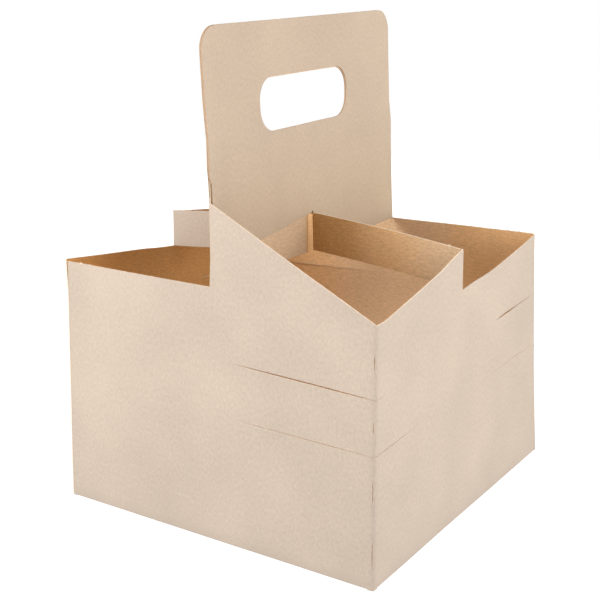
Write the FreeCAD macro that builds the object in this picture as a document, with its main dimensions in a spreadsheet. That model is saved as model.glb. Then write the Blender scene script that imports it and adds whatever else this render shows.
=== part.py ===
import FreeCAD, Part
import os
import re
import Sketcher

from FreeCAD import Placement, Rotation, Vector

# A four-cup carrier with a handle, folded from one die-cut sheet of kraft board.
# +X and +Y look at two neighbouring walls, +Z is up, and the origin is at the middle of the base.
# Turned half round about Z the carrier looks the same, apart from the slits at its corners.
# Wall A is at -Y, wall B at +X, wall C at +Y and wall D at -X. The handle stands on the plane x = 0.

SIZES = [
    ("box_width", 210.0, "outer width of the square sleeve"),
    ("board", 0.8, "thickness of the board"),
    ("fold_inner", 1.2, "inside radius of an upright corner fold"),
    ("wall_height", 150.0, "height of the level rims"),
    ("corner_dip", 4.5, "how far the corners A-B and C-D lie below the level rims"),
    ("corner_flat", 10.0, "level stretch of the B and D rims beside a dipped corner"),
    ("peak_rise", 47.0, "rise of the A and C walls where the handle folds off them"),
    ("notch_drop", 12.0, "depth of the B and D rims below the level rims beside the divider"),
    ("divider_depth", 24.0, "height of a divider strap"),
    ("divider_offset", 3.0, "how far a divider's folds lie from the middle of the box"),
    ("divider_sag", 2.0, "how far the handle's lower edge falls at the divider's fold"),
    ("handle_rise", 141.0, "rise of the handle's top above the level rims"),
    ("handle_width", 205.0, "width of the handle above the peaks"),
    ("handle_corner", 14.0, "radius of the handle's top corners"),
    ("free_edge_inset", 5.0, "distance of a ply's free edge from the other wall's outer face"),
    ("free_edge_rise", 60.0, "rise of the free edge's shoulder above the level rims"),
    ("shoulder", 4.0, "height over which an upright edge of the handle steps in or out"),
    ("slot_length", 97.0, "length of the hand slot"),
    ("slot_depth", 31.5, "height of the hand slot"),
    ("slot_corner", 13.0, "radius of the hand slot's corners"),
    ("slot_drop", 32.0, "distance of the hand slot below the handle's top"),
    ("slit_gap", 0.5, "width of a slit"),
    ("slit_start", 15.0, "distance of a long slit's blind end from the middle of its wall"),
    ("slit_drop", 41.0, "depth of an upper slit's blind end below the level rims"),
    ("slit_spacing", 32.3, "distance of the lower slits below the upper ones"),
    ("upper_fall", 3.3, "fall of an upper slit towards a dipped corner"),
    ("lower_fall", 2.0, "fall of a lower slit towards a dipped corner"),
    ("upper_reach", 37.0, "run of the upper slit on wall B past the corner A-B"),
    ("lower_reach", 47.0, "run of the lower slit on wall B past the corner A-B"),
    ("upper_start", 43.0, "distance of the upper slit's blind end beside the corner B-C from the middle"),
    ("lower_start", 23.0, "distance of the lower slit's blind end beside the corner B-C from the middle"),
    ("upper_lift", 2.0, "rise of the upper slit towards the corner B-C"),
    ("back_reach", 55.0, "run of both slits on wall C past the corner B-C"),
    ("crease_cut", 12.0, "length of a cut along an upright corner fold"),
    ("crease_pitch", 35.0, "distance from one cut along a corner fold to the next"),
    ("crease_first", 14.5, "height of the lowest cut's lower end"),
    ("crease_gap", 0.4, "width of a cut along a corner fold"),
    ("lock_depth", 14.0, "how far each bottom flap reaches past the middle on its long half"),
    ("lock_run", 34.0, "half the length of the slanting edge where the bottom flaps lock"),
    ("lock_gap", 1.0, "gap between the two bottom flaps"),
    ("side_flap", 62.0, "depth of the glued flaps that lie on the bottom flaps"),
    ("overcut", 5.0, "how far a cut's outline runs past the board"),
]

CREASE_CUTS = 4

doc = FreeCAD.newDocument("cup_carrier")
sheet = doc.addObject("Spreadsheet::Sheet", "Sizes")
for row, (alias, value, meaning) in enumerate(SIZES, start=1):
    sheet.set(f"A{row}", alias)
    sheet.set(f"B{row}", str(value))
    sheet.set(f"C{row}", meaning)
    sheet.setAlias(f"B{row}", alias)
doc.recompute()

body = doc.addObject("PartDesign::Body", "Carrier")
body.Label = "carrier"

HALF = "box_width / 2"
FOLD = "(board + fold_inner)"
PEAK = "(wall_height + peak_rise)"
DIP = "(wall_height - corner_dip)"
NOTCH = "(wall_height - notch_drop)"
ROOT = "(wall_height - divider_sag)"
HANDLE_TOP = "(wall_height + handle_rise)"
UPPER = "(wall_height - slit_drop)"
LOWER = "(wall_height - slit_drop - slit_spacing)"
SLOPE = "atan((2 * divider_offset + board) / (box_width / 2))"


def bound(text):
    """The expression with each size's name looked up in the sheet."""
    names = "|".join(alias for alias, value, meaning in SIZES)
    return re.sub(rf"\b({names})\b", r"Sizes.\1", text)


def origin_feature(role):
    """One of the body's own planes or axes."""
    return next(item for item in body.Origin.OriginFeatures if item.Role == role)


def sketch_on(role, name, distance="0"):
    """A sketch on a plane of the body, moved along the plane's normal."""
    sketch = body.newObject("Sketcher::SketchObject", name)
    sketch.AttachmentSupport = [(origin_feature(role), "")]
    sketch.MapMode = "FlatFace"
    sketch.setExpression("AttachmentOffset.Base.z", bound(distance))
    return sketch


def draw(sketch, corners):
    """A closed outline, counter-clockwise. A corner is (x, y) or (x, y, radius), as expressions,
    and a radius makes the stretch to the next corner a quarter round that bulges outwards."""
    places = []
    for corner in corners:
        values = [float(sketch.evalExpression(bound(text))) for text in corner[:2]]
        places.append(Vector(values[0], values[1], 0))
    first = sketch.GeometryCount
    following = places[1:] + places[:1]
    for corner, start, end in zip(corners, places, following):
        if len(corner) == 3:
            sketch.addGeometry(quarter_round(start, end))
        else:
            sketch.addGeometry(Part.LineSegment(start, end))
    count = len(corners)
    for step, (corner, place) in enumerate(zip(corners, places)):
        piece = first + step
        after = first + (step + 1) % count
        sketch.addConstraint(Sketcher.Constraint("Coincident", piece, 2, after, 1))
        bind(sketch, Sketcher.Constraint("DistanceX", -1, 1, piece, 1, place.x), corner[0])
        bind(sketch, Sketcher.Constraint("DistanceY", -1, 1, piece, 1, place.y), corner[1])
        if len(corner) == 3:
            radius = float(sketch.evalExpression(bound(corner[2])))
            bind(sketch, Sketcher.Constraint("Radius", piece, radius), corner[2])


def quarter_round(start, end):
    """A quarter circle from start to end that turns left, so it bulges to the right of its chord."""
    chord = end - start
    right = Vector(chord.y, -chord.x, 0)
    bulge = (2 ** 0.5 - 1) / 2
    return Part.Arc(start, (start + end) * 0.5 + right * bulge, end)


def bind(sketch, constraint, text):
    """A constraint whose value follows the sheet."""
    index = sketch.addConstraint(constraint)
    sketch.setExpression(f"Constraints[{index}]", bound(text))


def rounded_rectangle(x, y, radius, middle="0"):
    """Corners of a rectangle of half width x and half height y about (0, middle), corners rounded."""
    return [
        (f"{x} - {radius}", f"{middle} - {y}", radius),
        (f"{x}", f"{middle} - {y} + {radius}"),
        (f"{x}", f"{middle} + {y} - {radius}", radius),
        (f"{x} - {radius}", f"{middle} + {y}"),
        (f"-({x}) + {radius}", f"{middle} + {y}", radius),
        (f"-({x})", f"{middle} + {y} - {radius}"),
        (f"-({x})", f"{middle} - {y} + {radius}", radius),
        (f"-({x}) + {radius}", f"{middle} - {y}"),
    ]


def slit(start, start_height, end, end_height):
    """Corners of a thin straight cut from one end to the other, left to right."""
    return [
        (start, f"{start_height} - slit_gap / 2"),
        (end, f"{end_height} - slit_gap / 2"),
        (end, f"{end_height} + slit_gap / 2"),
        (start, f"{start_height} + slit_gap / 2"),
    ]


def pad(sketch, name, length):
    """Board added on the sketch's normal side."""
    feature = body.newObject("PartDesign::Pad", name)
    feature.Profile = sketch
    feature.setExpression("Length", bound(length))
    sketch.Visibility = False
    doc.recompute()
    return feature


def pocket(sketch, name, length, reverse=False):
    """Board cut away behind the sketch, or in front of it if reversed, with a check that it cuts."""
    before = body.Tip.Shape.Volume
    feature = body.newObject("PartDesign::Pocket", name)
    feature.Profile = sketch
    feature.setExpression("Length", bound(length))
    feature.Reversed = reverse
    sketch.Visibility = False
    doc.recompute()
    if not feature.Shape.Volume < before:
        raise RuntimeError(f"{name} cuts nothing")
    return feature


def make_sleeve():
    """The four walls as a square sleeve with rounded corner folds, as tall as the peaks."""
    sketch = sketch_on("XY_Plane", "SleeveOutline")
    draw(sketch, rounded_rectangle(HALF, HALF, FOLD))
    draw(sketch, rounded_rectangle(f"({HALF} - board)", f"({HALF} - board)", "fold_inner"))
    return pad(sketch, "Sleeve", PEAK)


def cut_rim_a():
    """Wall A's rim: level on the left half, then from the peak straight down to the corner A-B."""
    sketch = sketch_on("XZ_Plane", "RimOutlineA", HALF)
    draw(sketch, [
        (f"-{HALF} - overcut", "wall_height"),
        ("0", "wall_height"),
        ("0", PEAK),
        (HALF, DIP),
        (f"{HALF} + overcut", DIP),
        (f"{HALF} + overcut", f"{PEAK} + overcut"),
        (f"-{HALF} - overcut", f"{PEAK} + overcut"),
    ])
    return pocket(sketch, "RimA", FOLD)


def cut_rim_b():
    """Wall B's rim: from the corner A-B up to the divider, down the notch, up to the corner B-C."""
    sketch = sketch_on("YZ_Plane", "RimOutlineB", HALF)
    draw(sketch, [
        (f"-{HALF} - overcut", DIP),
        (f"-{HALF} + corner_flat", DIP),
        ("-divider_offset", f"{NOTCH} + divider_depth"),
        ("-divider_offset", NOTCH),
        (HALF, "wall_height"),
        (f"{HALF} + overcut", "wall_height"),
        (f"{HALF} + overcut", f"{PEAK} + overcut"),
        (f"-{HALF} - overcut", f"{PEAK} + overcut"),
    ])
    return pocket(sketch, "RimB", FOLD)


def make_bottom_flap():
    """The bottom flap of wall A. Its edge locks with wall C's along a slanting line."""
    edge = f"({HALF} - board / 2)"
    sketch = sketch_on("XY_Plane", "BottomFlapOutline")
    draw(sketch, [
        (f"-{edge} + {FOLD}", f"-{edge}"),
        (f"{edge} - {FOLD}", f"-{edge}"),
        (edge, f"-{edge} + {FOLD}"),
        (edge, "-lock_depth - lock_gap / 2"),
        ("lock_run", "-lock_depth - lock_gap / 2"),
        ("-lock_run", "lock_depth - lock_gap / 2"),
        (f"-{edge}", "lock_depth - lock_gap / 2"),
        (f"-{edge}", f"-{edge} + {FOLD}"),
    ])
    return pad(sketch, "BottomFlap", "board")


def make_side_flap():
    """The flap of wall B, with slanting ends, glued on top of the bottom flaps."""
    edge = f"({HALF} - board / 2)"
    sketch = sketch_on("XY_Plane", "SideFlapOutline", "board")
    draw(sketch, [
        (edge, f"-{edge} + {FOLD}"),
        (edge, f"{edge} - {FOLD}"),
        (f"{edge} - side_flap", f"{edge} - side_flap"),
        (f"{edge} - side_flap", f"-{edge} + side_flap"),
    ])
    return pad(sketch, "SideFlap", "board")


def make_handle_ply():
    """The front ply of the handle, hinged to wall C's peak, with the hand slot through it."""
    sketch = sketch_on("YZ_Plane", "HandlePlyOutline")
    side = "handle_width / 2"
    free_edge = f"-{HALF} + free_edge_inset"
    free_top = "wall_height + free_edge_rise"
    draw(sketch, [
        ("divider_offset", ROOT),
        (HALF, "wall_height"),
        (HALF, PEAK),
        (side, f"{PEAK} + shoulder"),
        (side, f"{HANDLE_TOP} - handle_corner", "handle_corner"),
        (f"{side} - handle_corner", HANDLE_TOP),
        (f"-{side} + handle_corner", HANDLE_TOP, "handle_corner"),
        (f"-{side}", f"{HANDLE_TOP} - handle_corner"),
        (f"-{side}", free_top),
        (free_edge, f"{free_top} - shoulder"),
        (free_edge, f"{NOTCH} + divider_depth"),
        ("divider_offset", f"{ROOT} + divider_depth"),
    ])
    slot_middle = f"({HANDLE_TOP} - slot_drop - slot_depth / 2)"
    draw(sketch, rounded_rectangle("slot_length / 2", "slot_depth / 2", "slot_corner", slot_middle))
    return pad(sketch, "HandlePly", "board")


def make_divider():
    """The strap cut out of the front ply and folded out to wall B. It slants a little in plan."""
    sketch = sketch_on("XZ_Plane", "DividerOutline", "-divider_offset - board")
    sketch.AttachmentOffset = Placement(sketch.AttachmentOffset.Base, Rotation(Vector(0, -1, 0), 1))
    sketch.setExpression("AttachmentOffset.Rotation.Angle", bound(SLOPE))
    reach = f"({HALF} - board / 2) / cos({SLOPE})"
    draw(sketch, [
        ("board / 2", ROOT),
        (reach, NOTCH),
        (reach, f"{NOTCH} + divider_depth"),
        ("board / 2", f"{ROOT} + divider_depth"),
    ])
    return pad(sketch, "Divider", "board")


def draw_crease_cuts(sketch):
    """A row of upright cuts where the wall meets the fold at its far end."""
    left = f"{HALF} - {FOLD}"
    for step in range(CREASE_CUTS):
        low = f"crease_first + {step} * crease_pitch"
        draw(sketch, [
            (left, low),
            (f"{left} + crease_gap", low),
            (f"{left} + crease_gap", f"{low} + crease_cut"),
            (left, f"{low} + crease_cut"),
        ])


def cut_slits_a():
    """Wall A's long slits, from near its middle down to the corner A-B, and the cuts at that fold."""
    sketch = sketch_on("XZ_Plane", "SlitOutlineA", HALF)
    draw(sketch, slit("slit_start", UPPER, HALF, f"{UPPER} - upper_fall"))
    draw(sketch, slit("slit_start", LOWER, HALF, f"{LOWER} - lower_fall"))
    draw_crease_cuts(sketch)
    return pocket(sketch, "SlitsA", FOLD)


def cut_slits_b():
    """Wall B's slits, short ones from the corner A-B and longer ones to the corner B-C, and the
    cuts at the fold B-C."""
    sketch = sketch_on("YZ_Plane", "SlitOutlineB", HALF)
    corner = f"-{HALF}"
    draw(sketch, slit(corner, f"{UPPER} - upper_fall", f"{corner} + upper_reach", f"{UPPER} - upper_fall"))
    draw(sketch, slit(corner, f"{LOWER} - lower_fall", f"{corner} + lower_reach", LOWER))
    draw(sketch, slit("upper_start", UPPER, HALF, f"{UPPER} + upper_lift"))
    draw(sketch, slit("lower_start", LOWER, HALF, LOWER))
    draw_crease_cuts(sketch)
    return pocket(sketch, "SlitsB", FOLD)


def cut_slits_c():
    """The ends on wall C of the slits that come round the corner B-C."""
    sketch = sketch_on("XZ_Plane", "SlitOutlineC", f"-{HALF}")
    draw(sketch, slit(f"{HALF} - back_reach", UPPER, HALF, f"{UPPER} + upper_lift"))
    draw(sketch, slit(f"{HALF} - back_reach", LOWER, HALF, LOWER))
    return pocket(sketch, "SlitsC", FOLD, reverse=True)


def cut_slits_d():
    """The long slits of wall D, from near its middle down to the corner C-D."""
    sketch = sketch_on("YZ_Plane", "SlitOutlineD", f"-{HALF}")
    draw(sketch, slit("slit_start", UPPER, HALF, f"{UPPER} - upper_fall"))
    draw(sketch, slit("slit_start", LOWER, HALF, f"{LOWER} - lower_fall"))
    return pocket(sketch, "SlitsD", FOLD, reverse=True)


def repeat_half_round(features):
    """The same features again, turned half round about the upright axis."""
    pattern = body.newObject("PartDesign::PolarPattern", "SecondHalf")
    pattern.Originals = features
    pattern.Axis = (origin_feature("Z_Axis"), [""])
    pattern.Angle = 360
    pattern.Occurrences = 2
    body.Tip = pattern
    doc.recompute()
    return pattern


make_sleeve()
half = [cut_rim_a(), cut_rim_b(), make_bottom_flap(), make_side_flap(), make_handle_ply(), make_divider()]
half.append(cut_slits_a())
repeat_half_round(half)
cut_slits_b()
cut_slits_c()
cut_slits_d()
doc.recompute()

failed = [item.Name for item in doc.Objects if {"Invalid", "Error"} & set(item.State)]
if failed:
    raise RuntimeError(f"failed objects: {failed}")
shape = body.Shape
if shape.isNull() or not shape.isValid() or len(shape.Solids) != 1:
    raise RuntimeError("the carrier isn't one valid solid")

os.makedirs("parts", exist_ok=True)
shape.exportStep(f"parts/{body.Label}.step")
box = shape.BoundBox
print(f"{body.Label}: {box.XLength:.1f} x {box.YLength:.1f} x {box.ZLength:.1f} mm, {shape.Volume:.0f} mm3")
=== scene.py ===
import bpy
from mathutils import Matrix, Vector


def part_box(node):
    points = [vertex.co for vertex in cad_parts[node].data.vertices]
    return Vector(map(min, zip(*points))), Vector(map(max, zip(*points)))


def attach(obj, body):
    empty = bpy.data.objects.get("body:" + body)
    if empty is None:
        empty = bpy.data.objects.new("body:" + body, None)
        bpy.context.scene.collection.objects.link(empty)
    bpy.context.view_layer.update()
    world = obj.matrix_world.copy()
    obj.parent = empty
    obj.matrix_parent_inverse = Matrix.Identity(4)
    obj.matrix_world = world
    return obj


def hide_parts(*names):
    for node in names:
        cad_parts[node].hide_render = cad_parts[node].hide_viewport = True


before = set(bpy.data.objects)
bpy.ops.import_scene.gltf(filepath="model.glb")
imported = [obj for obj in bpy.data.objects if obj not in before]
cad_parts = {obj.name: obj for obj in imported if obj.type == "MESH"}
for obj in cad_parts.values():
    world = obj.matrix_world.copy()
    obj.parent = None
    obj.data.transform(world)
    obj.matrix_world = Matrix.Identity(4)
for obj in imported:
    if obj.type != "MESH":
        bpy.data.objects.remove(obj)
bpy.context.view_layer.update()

import math
from collections import namedtuple

import bmesh
import bpy
from bpy.props import FloatProperty, FloatVectorProperty, IntProperty, PointerProperty
from mathutils import Matrix, Vector, noise
from mathutils.geometry import delaunay_2d_cdt

bl_info = {
    "name": "Folded cup carrier",
    "version": (1, 0, 0),
    "blender": (4, 5, 0),
    "location": "View3D > Sidebar > Carrier",
    "description": "A four-cup carrier folded from one die-cut sheet of kraft board",
    "category": "Add Mesh",
}

# Wall A is at -Y, wall B at +X, wall C at +Y and wall D at -X. The handle stands on the plane x = 0.
# A place on a wall is its distance from the wall's middle, along A, B, C and D in turn
# anticlockwise from above. The sheet is light outside, brown inside and pale where it is cut.

MM = 0.001
LOW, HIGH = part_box("carrier")
HALF = (HIGH.x - LOW.x) / 2
A, B, C, D = range(4)


def length(name, description, default):
    """A length that a user can change. The default is in millimetres."""
    return FloatProperty(name=name, description=description, default=default * MM, unit="LENGTH",
                         precision=5)


def offset(name, description, x, y):
    """A level shift that a user can change. The defaults are in millimetres."""
    return FloatVectorProperty(name=name, description=description, default=(x * MM, y * MM), size=2,
                               unit="LENGTH", precision=5)


def share(name, description, default):
    """A number from 0 to 1 that a user can change."""
    return FloatProperty(name=name, description=description, default=default, min=0, max=1,
                         subtype="FACTOR")


def colour(name, description, default):
    """A colour, in linear light, that a user can change."""
    return FloatVectorProperty(name=name, description=description, default=default, size=3,
                               min=0, max=1, subtype="COLOR")


class SheetSizes(bpy.types.PropertyGroup):
    """Sizes of the folded sheet."""
    board: length("Board", "Thickness of the board", 0.8)
    corner_radius: length("Corner radius", "Outside radius of an upright corner fold", 1.15)
    soft_radius: length("Soft corner radius", "Outside radius of the least creased corner, B-C", 3.6)
    base_radius: length("Base radius", "Outside radius of the folds along the base", 0.9)
    wall_height: length("Wall height", "Height of the level rims", 150)
    corner_dip: length("Corner dip", "Depth of corners A-B and C-D below the level rims", 4.5)
    corner_flat: length("Corner flat", "Level stretch of rim beside a dipped corner", 10)
    peak_rise: length("Peak rise", "Rise of walls A and C at the handle", 47)
    notch_drop: length("Notch drop", "Depth of rims B and D beside the divider", 12)
    divider_depth: length("Divider depth", "Height of a divider strap", 24)
    divider_offset: length("Divider offset", "Distance of a divider's folds from the middle", 3)
    divider_sag: length("Divider sag", "Fall of the handle's lower edge to the divider", 2)
    divider_radius: length("Divider radius", "Inside radius of the fold at a divider's root", 0.3)
    rim_bow: length("Rim bow", "Hollow of rim B beyond the notch", 1.1)
    seam_rise: length("Seam rise", "Rise of wall D's rim to its raw end", 0.9)
    handle_width: length("Handle width", "Width of the handle above the peaks", 205)
    handle_corner: length("Handle corner", "Radius of the handle's top corners", 13.2)
    free_edge_inset: length("Free edge inset", "A ply's free edge to the other wall", 1.7)
    free_edge_rise: length("Free edge rise", "Free edge's shoulder above the level rims", 61.5)
    shoulder: length("Shoulder", "Height over which a ply's free edge steps", 4)
    hinge_taper: length("Hinge taper", "Height over which a ply widens to its hinge", 34)
    slot_length: length("Slot length", "Length of the hand slot", 97)
    slot_depth: length("Slot depth", "Height of the hand slot", 31.5)
    slot_corner: length("Slot corner", "Radius of the hand slot's corners", 13)
    slot_slip: length("Slot slip", "How much lower the rear ply's slot sits than the front ply's", 0.6)
    slot_drop: length("Slot drop", "Distance of the slot below the handle's top", 32)
    slit_start: length("Slit start", "Blind end of a long slit from the wall's middle", 15)
    slit_drop: length("Slit drop", "Depth of an upper slit below the level rims", 41)
    slit_spacing: length("Slit spacing", "Distance of the lower slits below the upper", 32.3)
    upper_fall: length("Upper fall", "Fall of an upper slit to a dipped corner", 3.3)
    lower_fall: length("Lower fall", "Fall of a lower slit to a dipped corner", 2.0)
    upper_lift: length("Upper lift", "Rise of the upper slit to corner B-C", 2.0)
    crease_first: length("First cut", "Height of the middle of the lowest fold cut", 20.5)
    crease_pitch: length("Cut pitch", "Distance from one fold cut to the next", 35)
    crease_gap: length("Cut width", "Width of a cut along a fold", 0.45)
    tab_width: length("Tab width", "Width of the glue tab inside wall D", 24)
    tab_bevel: length("Tab bevel", "Slope of the glue tab's two ends", 9)
    lock_depth: length("Lock depth", "Reach of a bottom flap past the middle", 14)
    lock_run: length("Lock run", "Half the length of the bottom's slanting edge", 34)
    lock_gap: length("Lock gap", "Gap between the bottom flaps", 0.2)
    flap_inset: length("Flap inset", "Distance of a bottom flap from walls B and D", 3.8)
    side_flap: length("Side flap", "Depth of the flaps of walls B and D", 62)
    side_flap_inset: length("Side flap inset", "Distance of a side flap from walls A and C", 3.8)
    mesh_step: length("Mesh step", "Distance between the sheet's mesh lines", 7)


class SettleSizes(bpy.types.PropertyGroup):
    """How the folded sheet leans, bows and ripples."""
    base_da: offset("Base corner D-A", "Shift of the base at corner D-A", -3.6, -0.4)
    base_ab: offset("Base corner A-B", "Shift of the base at corner A-B", 2.7, -5.4)
    base_bc: offset("Base corner B-C", "Shift of the base at corner B-C", 4.3, 5.9)
    base_cd: offset("Base corner C-D", "Shift of the base at corner C-D", -2.4, 1.5)
    foot_lift: length("Foot lift", "How far the base stands clear at corner B-C", 1.5)
    corner_da: length("Corner D-A", "Shift of corner D-A along X at all heights", -0.65)
    lean: length("Lean", "How far the handle's top leans to -X", 4.9)
    peak_shift: length("Peak shift", "Shift of wall A's peak along X", 1.8)
    hinge_bulge: length("Hinge bulge", "How far a ply stands off the other one at its hinge", 0.2)
    hinge_shift: length("Hinge shift", "Shift of wall C's peak along Y", -1.3)
    handle_bow: length("Handle bow", "Hollow of the handle's front", 1.9)
    handle_sag: length("Handle sag", "How far the handle sags at wall C", 1.7)
    handle_turn: length("Handle turn", "Further fall of the handle's top end at wall C", 0.65)
    wall_bow: length("Wall bow", "Bulge of the walls", 0.5)
    front_shift: length("Front strap shift", "Shift of the front divider along Y", -1.1)
    front_tilt: length("Front strap tilt", "Further shift of the front root's top end along Y", -0.5)
    front_lift: length("Front strap lift", "Rise of the front divider's root", 0.5)
    end_lift: length("Front end lift", "Rise of the front divider's other end", 1.3)
    front_arch: length("Front strap arch", "Further rise of the front divider's middle", 0.8)
    rear_root_shift: length("Rear root shift", "Shift of the rear divider's root along Y", 1.0)
    rear_wall_shift: length("Rear wall shift", "Shift of the rear divider's end along Y", -5.1)
    ripple: length("Ripple", "Height of the board's slow ripples", 0.35)
    ripple_size: length("Ripple size", "Width of the board's slow ripples", 60)
    ripple_seed: IntProperty(name="Ripple seed", description="Fixes the ripples' places", default=4)
    seam_gape: length("Seam gape", "How far wall D stands off the glue tab at the top", 1.0)
    seam_gape_depth: length("Seam gape depth", "Height of the seam's open stretch", 24)
    lip_spring: length("Lip spring", "How far a slit's lips spring out of the wall at most", 0.5)
    lip_reach: length("Lip reach", "Distance from a slit over which its lips settle back", 5)


class TrimSizes(bpy.types.PropertyGroup):
    """Sizes of what the die leaves along the cut edges."""
    nick_size: length("Nick size", "Width of a torn nick", 1.4)
    nick_seed: IntProperty(name="Nick seed", description="Fixes the nicks' shapes", default=4)
    fibre_length: length("Fibre length", "Length of a stray fibre", 0.55)
    fibre_width: length("Fibre width", "Width of a stray fibre", 0.05)
    fibres_per_mm2: FloatProperty(name="Fibre density", default=0.8,
                                  description="Fibres to a square millimetre of cut edge")
    fibre_seed: IntProperty(name="Fibre seed", description="Fixes the fibres' places", default=11)


class BoardColours(bpy.types.PropertyGroup):
    """Colours of the board and the stage."""
    outside: colour("Outside", "Light face of the board", (0.391, 0.318, 0.256))
    # The handle's face is painted a little warmer than the outside: painted warm reflection from the brown
    # wells.
    handle: colour("Handle", "Light face of the handle, a little warmer", (0.407, 0.316, 0.235))
    # Between the walls the handle is painted darker and warmer still: painted shade and painted warm
    # reflection.
    handle_low_painted_shade: colour("Low handle", "Light face of the handle between the walls", (0.403, 0.308, 0.214))
    inside: colour("Inside", "Brown face of the board", (0.62, 0.388, 0.193))
    # Paler brown: painted light beside wall C's hinge, and with painted shade at the strap's end.
    inside_pale: colour("Paler inside", "Brown face beside wall C's hinge and at the strap's end",
                        (0.585, 0.415, 0.26))
    # Painted shade: wall D's inside is darker and more orange than the rest.
    wall_d_painted_shade: colour("Left inside", "Brown face of wall D", (0.545, 0.305, 0.117))
    handle_inside: colour("Handle inside", "Brown face of the handle's plies", (0.53, 0.385, 0.255))
    # Painted shade: the plies' raw edges are darker and browner than the other cut edges.
    handle_cut_painted_shade: colour("Handle edge", "Raw edge of the handle's plies", (0.33, 0.225, 0.145))
    # Painted shade: the brown face near the handle, darker and more orange.
    inside_painted_shade: colour("Deep inside", "Brown face near the handle", (0.53, 0.30, 0.112))
    # Pale raw edge, partly the cut board and partly painted highlight along the rims.
    cut: colour("Cut edge", "Raw edge of the board", (0.64, 0.52, 0.395))
    fibre_dark: colour("Dark fibre", "Dark flecks in the board", (0.20, 0.115, 0.06))
    floor: colour("Floor", "Floor of the stage", (0.14, 0.14, 0.14))
    mottle: share("Mottle", "Strength of the outside's mottle", 0.34)
    streak: share("Streak", "Strength of the inside's fibre streaks", 0.95)


def smooth(value):
    """0 below 0, 1 above 1, and an even curve between."""
    value = min(max(value, 0.0), 1.0)
    return value * value * (3 - 2 * value)


Stretch = namedtuple("Stretch", "start run place heading bend")


class FoldPath:
    """A route in plan that the sheet's light face follows, with rounded corners."""

    def __init__(self, points, radii, side):
        """The side is 1 if the light face is on the route's right, and -1 if on its left."""
        self.side = side
        self.stretches = []
        self.length = 0.0
        place = Vector(points[0])
        for index in range(1, len(points)):
            corner = Vector(points[index])
            heading = (corner - place).normalized()
            if index == len(points) - 1:
                self.add(place, heading, (corner - place).length, 0.0)
                break
            onward = (Vector(points[index + 1]) - corner).normalized()
            turn = heading.x * onward.y - heading.y * onward.x
            angle = math.atan2(turn, heading.dot(onward))
            radius = radii[index - 1]
            back = radius * math.tan(abs(angle) / 2)
            self.add(place, heading, (corner - place).length - back, 0.0)
            bend = math.copysign(1 / radius, angle)
            self.add(corner - heading * back, heading, radius * abs(angle), bend)
            place = corner + onward * back

    def add(self, place, heading, run, bend):
        """One straight stretch or arc. The bend is its signed curvature."""
        self.stretches.append(Stretch(self.length, run, place.copy(), heading.copy(), bend))
        self.length += run

    def at(self, distance):
        """The place in plan at a distance along the route, and the light face's outward direction."""
        slack = 1e-9
        for start, run, place, heading, bend in self.stretches:
            if distance <= start + run + slack:
                break
        along = distance - start
        across = Vector((-heading.y, heading.x))
        if bend:
            angle = along * bend
            place = place + heading * (math.sin(angle) / bend) + across * ((1 - math.cos(angle)) / bend)
            heading = heading * math.cos(angle) + across * math.sin(angle)
        else:
            place = place + heading * along
        return place, Vector((heading.y, -heading.x)) * self.side

    def folds(self):
        """Start and end of each rounded corner, as distances along the route."""
        return [(here.start, here.start + here.run) for here in self.stretches if here.bend]

    def columns(self, step, pieces=4):
        """Distances at which the sheet needs an upright mesh line."""
        found = []
        for here in self.stretches:
            count = pieces if here.bend else max(1, round(here.run / step))
            found += [here.start + here.run * part / count for part in range(count)]
        return found + [self.length]


def inside(place, loop):
    """True if a flat place lies inside a closed outline."""
    x, y = place
    found = False
    for (x0, y0), (x1, y1) in zip(loop, loop[1:] + loop[:1]):
        if (y0 > y) != (y1 > y) and x < (x1 - x0) * (y - y0) / (y1 - y0) + x0:
            found = not found
    return found


def fill(outline, holes, columns, rows, guides):
    """Triangles of a flat outline with holes, with mesh lines along the columns, rows and guides."""
    points = []
    edges = []
    for loop in [outline, *holes]:
        first = len(points)
        points += [Vector(place) for place in loop]
        edges += [(first + step, first + (step + 1) % len(loop)) for step in range(len(loop))]
    margin = MM
    tolerance = 1e-7
    left, right = min(p[0] for p in outline), max(p[0] for p in outline)
    low, high = min(p[1] for p in outline), max(p[1] for p in outline)
    lines = [((u, low - margin), (u, high + margin)) for u in columns if left < u < right]
    lines += [((left - margin, v), (right + margin, v)) for v in rows if low < v < high]
    lines += guides
    for start, end in lines:
        edges.append((len(points), len(points) + 1))
        points += [Vector(start), Vector(end)]
    places, _, faces, *_ = delaunay_2d_cdt(points, edges, [], 0, tolerance)
    boxes = [(min(p[0] for p in hole), max(p[0] for p in hole), hole) for hole in holes]
    kept = []
    for face in faces:
        middle = sum((places[index] for index in face), Vector((0, 0))) / len(face)
        near = [hole for start, end, hole in boxes if start < middle.x < end]
        if inside(middle, outline) and not any(inside(middle, hole) for hole in near):
            kept.append(face)
    return places, kept


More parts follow.
